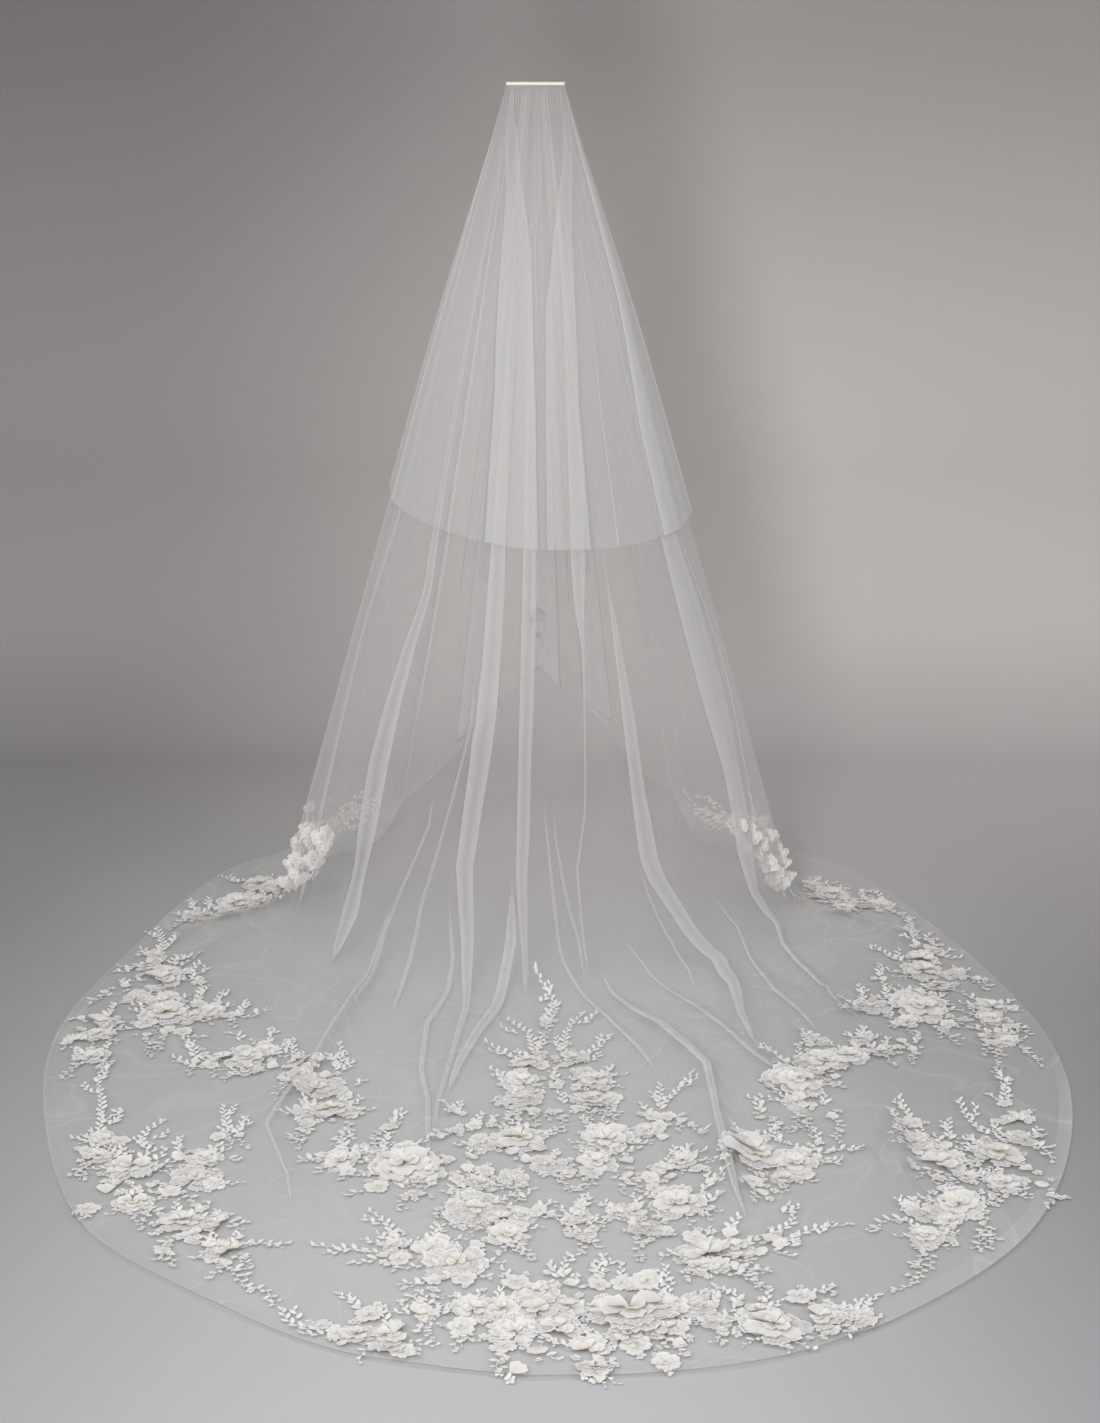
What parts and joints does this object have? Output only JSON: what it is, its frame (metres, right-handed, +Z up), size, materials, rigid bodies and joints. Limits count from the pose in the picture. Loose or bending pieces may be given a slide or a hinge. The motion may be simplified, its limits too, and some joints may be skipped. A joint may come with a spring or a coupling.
{
  "type": "bridal veil",
  "caption": "Long two-tier tulle bridal veil on a hair comb, tented to the floor, with an oval train bordered by floral lace sprays and a raised far hem.",
  "frame": {"origin": "middle of the hair comb's spine, where the veil pins into the hair", "axes": "+Z up out of the hair, the near side with the train faces -Y, +X to the right of someone who looks along +Y"},
  "size_m": [1.6341, 1.9652, 1.502],
  "materials": {
    "tulle": "sheer soft net with a slight sheen",
    "lace": "raised matt embroidery with a fine thread",
    "binding": "satin strip, hand stitched",
    "comb": "clear ivory plastic"
  },
  "bodies": {
    "root": {"comb": "comb", "comb_binding": "binding", "long_tier": "tulle", "short_tier": "tulle", "lace_back_left": "lace", "lace_back_right": "lace", "lace_outer_left_a": "lace", "lace_outer_right_a": "lace", "lace_outer_left_b": "lace", "lace_outer_right_b": "lace", "lace_outer_left_c": "lace", "lace_outer_right_c": "lace", "lace_inner_left_a": "lace", "lace_inner_right_a": "lace", "lace_inner_left_b": "lace", "lace_inner_right_b": "lace", "lace_inner_left_c": "lace", "lace_inner_right_c": "lace", "lace_wing_left_a": "lace", "lace_wing_right_a": "lace", "lace_wing_left_b": "lace", "lace_wing_right_b": "lace", "lace_wing_left_c": "lace", "lace_wing_right_c": "lace", "lace_hem_left": "lace", "lace_hem_right": "lace", "lace_front_left_a": "lace", "lace_front_right_a": "lace", "lace_front_left_b": "lace", "lace_front_right_b": "lace", "lace_front_middle": "lace", "lace_tree_top": "lace", "lace_tree_middle": "lace", "lace_tree_foot": "lace", "lace_tree_left": "lace", "lace_tree_right": "lace", "lace_tree_tip": "lace", "lace_side_left": "lace", "lace_side_right": "lace"}
  },
  "joints": []
}
